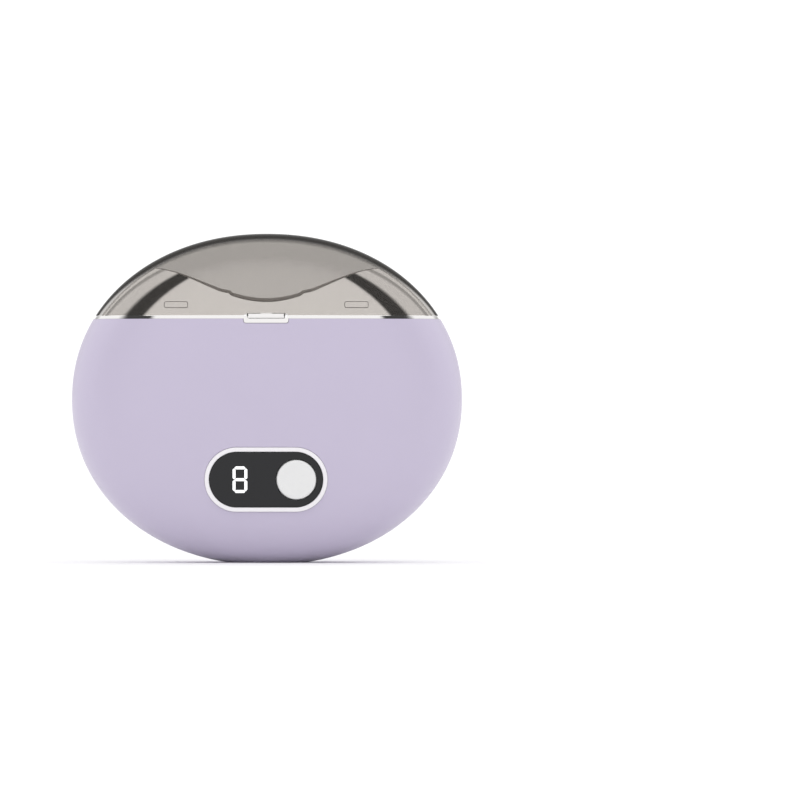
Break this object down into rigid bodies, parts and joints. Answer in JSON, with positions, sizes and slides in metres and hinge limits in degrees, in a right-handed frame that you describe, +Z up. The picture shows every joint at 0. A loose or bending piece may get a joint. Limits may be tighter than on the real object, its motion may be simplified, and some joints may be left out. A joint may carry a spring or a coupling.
{
  "type": "electric nail trimmer",
  "caption": "Oval hand-held rechargeable nail trimmer with a clear lift-off clippings box, a digit display, a power button and a round finger port with a twist-off cover.",
  "frame": {"origin": "centre of the overall box in X and Y, on the surface the object stands on", "axes": "+Z up; -Y is the front with the display and button; +Y is the back with the finger port; +X to the right seen from the front"},
  "size_m": [0.11, 0.0361, 0.0926],
  "materials": {
    "shell_lavender": "satin pearl lavender plastic",
    "bright_plating": "mirror-bright plating on plastic",
    "smoke_clear": "clear smoke-tinted plastic, polished",
    "violet_clear": "clear violet-tinted plastic, polished",
    "white_plastic": "gloss white plastic",
    "black_panel": "gloss black display window",
    "digit_white": "white light-pipe plastic of the display",
    "steel": "satin steel",
    "dark_steel": "zinc-plated motor steel",
    "brass": "turned brass",
    "nylon": "natural nylon",
    "black_plastic": "black moulded plastic",
    "board_green": "green printed circuit board",
    "cell_wrap": "blue shrink wrap of a lithium cell",
    "seal_grey": "soft grey seal rubber",
    "lead_red": "red wire insulation",
    "lead_black": "black wire insulation"
  },
  "bodies": {
    "housing": {"front_shell": "shell_lavender", "rear_shell": "shell_lavender", "bright_collar": "bright_plating", "latch_spring": "steel", "panel_bezel": "white_plastic", "panel_window": "black_panel", "digit_module": "digit_white", "switch_body": "black_plastic", "control_board": "board_green", "charging_inlet": "steel", "charging_board": "board_green", "battery_cell": "cell_wrap", "battery_tab_positive": "steel", "battery_tab_negative": "steel", "cutter_housing": "nylon", "finger_guide": "shell_lavender", "left_bush": "brass", "right_bush": "brass", "gear_case": "black_plastic", "motor_can": "dark_steel", "motor_end_cap": "black_plastic", "port_ring": "violet_clear", "board_screw_left": "steel", "housing_screw_left": "steel", "collar_screw_left": "steel", "motor_screw_left": "steel", "board_screw_right": "steel", "housing_screw_right": "steel", "collar_screw_right": "steel", "motor_screw_right": "steel", "battery_lead_red": "lead_red", "battery_lead_black": "lead_black", "motor_lead_red": "lead_red", "motor_lead_black": "lead_black"},
    "clear_box": {"clear_box": "smoke_clear"},
    "release_latch": {"release_latch": "bright_plating"},
    "power_button": {"power_button": "white_plastic", "switch_plunger": "black_plastic"},
    "port_seal": {"port_seal": "seal_grey"},
    "port_cover": {"port_cover": "violet_clear"},
    "cutter": {"cutter_drum": "steel", "drum_axle": "steel", "drum_gear": "nylon"},
    "motor_rotor": {"motor_shaft": "steel", "motor_pinion": "brass"}
  },
  "joints": [
    {"name": "clear_box_lift", "type": "slide", "parent": "housing", "child": "clear_box", "axis": [0, 0, 1], "range_m": [0, 0.02]},
    {"name": "latch_push", "type": "slide", "parent": "housing", "child": "release_latch", "axis": [0, 1, 0], "range_m": [0, 0.0008], "stiffness_N_per_m": 400, "deforming": ["latch_spring"]},
    {"name": "button_press", "type": "slide", "parent": "housing", "child": "power_button", "axis": [0, 1, 0], "range_m": [0, 0.0005], "stiffness_N_per_m": 800},
    {"name": "port_cover_pull", "type": "slide", "parent": "housing", "child": "port_seal", "axis": [0, 1, 0], "range_m": [0, 0.02]},
    {"name": "port_cover_twist", "type": "hinge", "parent": "port_seal", "child": "port_cover", "pos_m": [0, 0.015, 0.0464], "axis": [0, 1, 0], "range_deg": [0, 45]},
    {"name": "cutter_spin", "type": "hinge", "parent": "housing", "child": "cutter", "pos_m": [0, -0.0009, 0.0416], "axis": [1, 0, 0], "continuous": true},
    {"name": "motor_spin", "type": "hinge", "parent": "housing", "child": "motor_rotor", "pos_m": [0.018, -0.0009, 0.05315], "axis": [1, 0, 0], "continuous": true}
  ],
  "couplings": [
    {"joint": "motor_spin", "follows": "cutter_spin", "ratio": -2}
  ]
}
